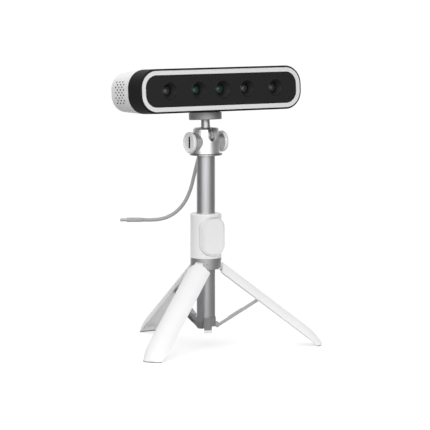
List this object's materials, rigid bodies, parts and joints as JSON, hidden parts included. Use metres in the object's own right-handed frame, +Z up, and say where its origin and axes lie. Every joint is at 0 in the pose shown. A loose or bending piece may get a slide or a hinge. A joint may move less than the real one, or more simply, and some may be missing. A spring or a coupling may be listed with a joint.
{
  "type": "face scanner on folding tripod stand",
  "caption": "Face scanner: long round-cornered head with a light ring and a row of lenses on a ball joint, a telescopic pole and a folding tripod stand with a remote control.",
  "frame": {"origin": "point on the floor straight below the pole, on the axis of the pole", "axes": "+Z up along the pole, -Y to the front where the scanner and the remote control face, X along the head"},
  "size_m": [0.2074, 0.1823, 0.282],
  "materials": {
    "white_plastic": "fine satin moulding",
    "shell_white": "smooth satin white",
    "black_plastic": "satin black",
    "diffuser": "milky diffuser",
    "dark_window": "tinted acrylic",
    "lens_glass": "coated glass",
    "tube": "satin anodised tube",
    "silver_metal": "satin cast alloy",
    "grey_plastic": "satin grey moulding",
    "strut_metal": "pressed steel",
    "dark_plastic": "acetal guide",
    "steel": "bright steel",
    "pad_rubber": "matt rubber",
    "cable": "smooth cable jacket",
    "brass": "knurled insert",
    "circuit_board": "solder mask"
  },
  "bodies": {
    "sleeve": {"sleeve": "white_plastic", "hub": "grey_plastic", "hub_bush": "dark_plastic", "hinge_pins": "steel"},
    "leg_left": {"leg_left": "white_plastic", "foot_pad_left": "pad_rubber", "strut_pin_left": "steel"},
    "strut_left": {"strut_left": "strut_metal"},
    "leg_right": {"leg_right": "white_plastic", "foot_pad_right": "pad_rubber", "strut_pin_right": "steel"},
    "strut_right": {"strut_right": "strut_metal"},
    "leg_rear": {"leg_rear": "white_plastic", "foot_pad_rear": "pad_rubber", "strut_pin_rear": "steel"},
    "strut_rear": {"strut_rear": "strut_metal"},
    "pole": {"pole_tube": "tube", "pole_cap": "dark_plastic", "collar": "grey_plastic", "collar_tab": "grey_plastic"},
    "stage_1": {"stage_1": "tube", "stage_1_bush": "dark_plastic", "stage_1_cap": "dark_plastic"},
    "stage_2": {"stage_2": "tube", "stage_2_bush": "dark_plastic", "base_flange": "silver_metal"},
    "ball_housing": {"ball_housing": "silver_metal", "ball_seat": "white_plastic"},
    "knob_left": {"knob_left": "white_plastic", "knob_left_screw": "grey_plastic"},
    "knob_right": {"knob_right": "white_plastic", "knob_right_screw": "grey_plastic"},
    "ball_stem": {"ball_stem": "silver_metal", "mount_disc": "silver_metal", "mount_pad": "pad_rubber"},
    "scanner_head": {"front_housing": "black_plastic", "light_ring": "diffuser", "front_window": "dark_window", "rear_shell": "shell_white", "lens_barrel_1": "black_plastic", "lens_barrel_2": "black_plastic", "lens_barrel_3": "black_plastic", "lens_barrel_4": "black_plastic", "lens_barrel_5": "black_plastic", "lens_glasses": "lens_glass", "optical_bench": "silver_metal", "main_board": "circuit_board", "light_board": "circuit_board", "tripod_insert": "brass", "case_screws": "steel", "cord_gland": "pad_rubber", "cord": "cable", "plug_body": "cable", "plug_shell": "steel"},
    "remote": {"remote_case": "white_plastic", "remote_board": "circuit_board", "coin_cell": "steel"},
    "remote_key": {"remote_key": "white_plastic"}
  },
  "joints": [
    {"name": "pole_fold", "type": "slide", "parent": "sleeve", "child": "pole", "axis": [0, 0, -1], "range_m": [0, 0.04585]},
    {"name": "leg_left_fold", "type": "hinge", "parent": "sleeve", "child": "leg_left", "pos_m": [-0.01082, -0.00625, 0.0844], "axis": [0.5, -0.866, 0], "range_deg": [0, 52.5]},
    {"name": "strut_left_fold", "type": "hinge", "parent": "leg_left", "child": "strut_left", "pos_m": [-0.04887, -0.02822, 0.04918], "axis": [0.5, -0.866, 0], "range_deg": [-110.03, 0]},
    {"name": "leg_right_fold", "type": "hinge", "parent": "sleeve", "child": "leg_right", "pos_m": [0.01082, -0.00625, 0.0844], "axis": [0.5, 0.866, 0], "range_deg": [0, 52.5]},
    {"name": "strut_right_fold", "type": "hinge", "parent": "leg_right", "child": "strut_right", "pos_m": [0.04887, -0.02822, 0.04918], "axis": [0.5, 0.866, 0], "range_deg": [-110.03, 0]},
    {"name": "leg_rear_fold", "type": "hinge", "parent": "sleeve", "child": "leg_rear", "pos_m": [0, 0.0125, 0.0844], "axis": [-1, 0, 0], "range_deg": [0, 52.5]},
    {"name": "strut_rear_fold", "type": "hinge", "parent": "leg_rear", "child": "strut_rear", "pos_m": [0, 0.05643, 0.04918], "axis": [-1, 0, 0], "range_deg": [-110.03, 0]},
    {"name": "stage_1_slide", "type": "slide", "parent": "pole", "child": "stage_1", "axis": [0, 0, 1], "range_m": [0, 0.125]},
    {"name": "stage_2_slide", "type": "slide", "parent": "stage_1", "child": "stage_2", "axis": [0, 0, 1], "range_m": [0, 0.125]},
    {"name": "housing_pan", "type": "hinge", "parent": "stage_2", "child": "ball_housing", "pos_m": [0, 0, 0.1951], "axis": [0, 0, 1], "continuous": true},
    {"name": "knob_left_turn", "type": "hinge", "parent": "ball_housing", "child": "knob_left", "pos_m": [0, 0, 0.2064], "axis": [-1, 0, 0], "range_deg": [-180, 180]},
    {"name": "knob_right_turn", "type": "hinge", "parent": "ball_housing", "child": "knob_right", "pos_m": [0, 0, 0.2064], "axis": [1, 0, 0], "range_deg": [-180, 180]},
    {"name": "ball_tilt", "type": "hinge", "parent": "ball_housing", "child": "ball_stem", "pos_m": [0, 0, 0.2125], "axis": [1, 0, 0], "range_deg": [-10, 93.4]},
    {"name": "head_swivel", "type": "hinge", "parent": "ball_stem", "child": "scanner_head", "pos_m": [0, 0, 0.2125], "axis": [0, 0.0593, 0.9982], "range_deg": [-90, 90]},
    {"name": "remote_pull", "type": "slide", "parent": "sleeve", "child": "remote", "axis": [0, -1, 0], "range_m": [0, 0.015]},
    {"name": "remote_press", "type": "slide", "parent": "remote", "child": "remote_key", "axis": [0, 1, 0], "range_m": [0, 0.0005], "stiffness_N_per_m": 2000, "springref_m": -0.0001}
  ],
  "couplings": [
    {"joint": "leg_left_fold", "follows": "pole_fold", "rad_per_m": 19.982},
    {"joint": "strut_left_fold", "follows": "pole_fold", "rad_per_m": -41.878},
    {"joint": "leg_right_fold", "follows": "pole_fold", "rad_per_m": 19.982},
    {"joint": "strut_right_fold", "follows": "pole_fold", "rad_per_m": -41.878},
    {"joint": "leg_rear_fold", "follows": "pole_fold", "rad_per_m": 19.982},
    {"joint": "strut_rear_fold", "follows": "pole_fold", "rad_per_m": -41.878}
  ]
}
